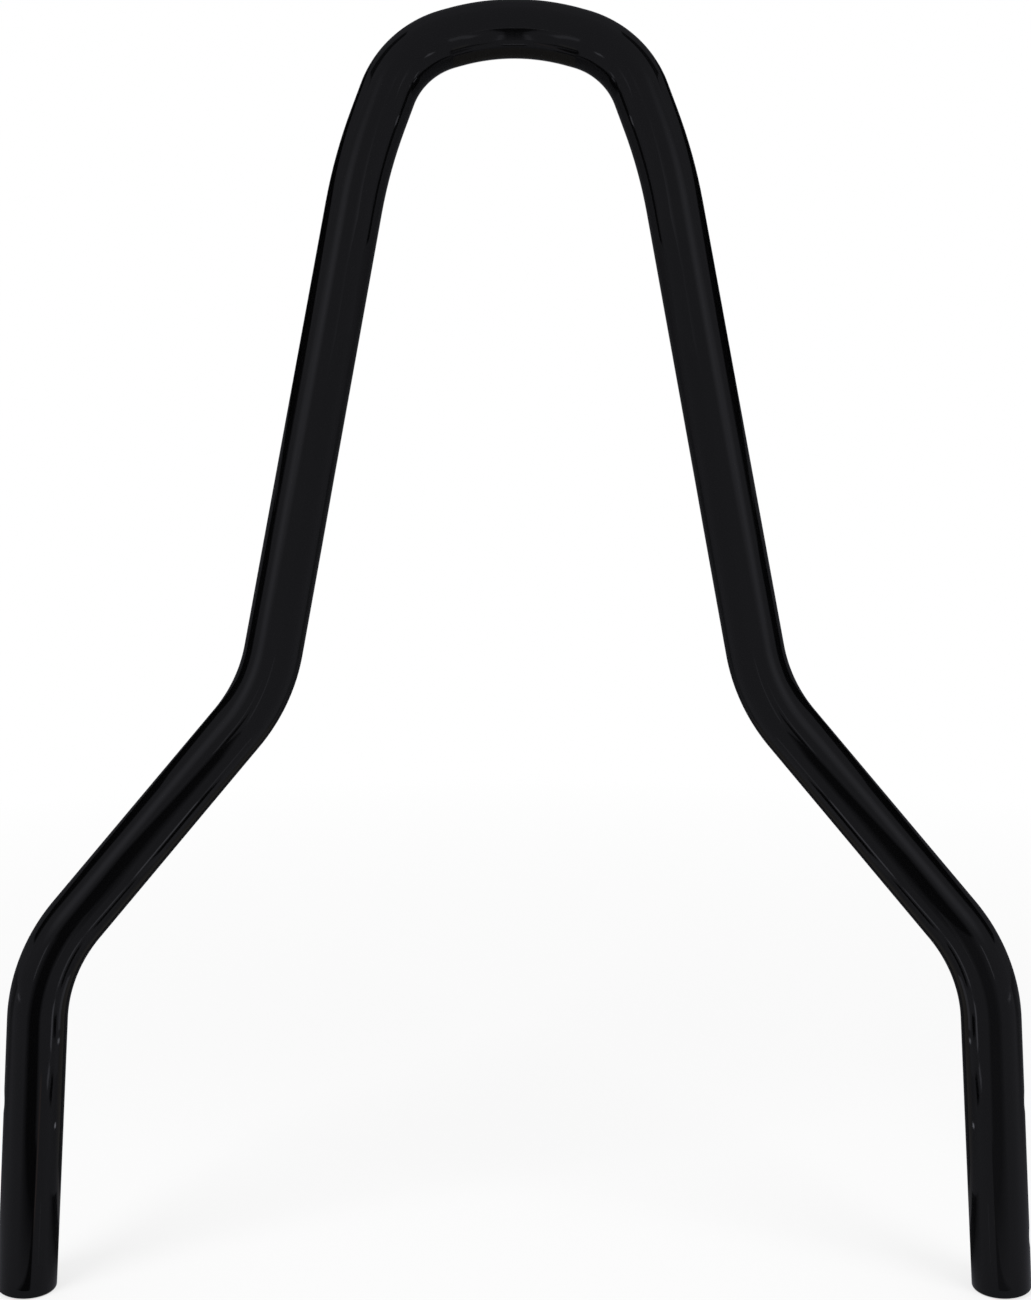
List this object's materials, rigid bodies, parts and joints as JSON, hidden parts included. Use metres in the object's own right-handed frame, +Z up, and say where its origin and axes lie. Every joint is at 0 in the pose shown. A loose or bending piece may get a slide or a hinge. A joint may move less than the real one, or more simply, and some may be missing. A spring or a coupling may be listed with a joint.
{
  "type": "sissy bar",
  "caption": "Round steel bar bent into a tall tapering hoop with an arched crown and spread legs, bolted to side plates behind a motorcycle seat as a backrest upright.",
  "frame": {"origin": "middle of the bar's width and depth, at the height of the lowest edges of the legs' cut ends", "axes": "+X across the bar, +Y towards its back, the way the hoop leans, and +Z up"},
  "size_m": [0.2824, 0.0696, 0.3523],
  "materials": {
    "gloss_black_paint": "gloss black powder coat over steel"
  },
  "bodies": {
    "root": {"sissy_bar": "gloss_black_paint"}
  },
  "joints": []
}
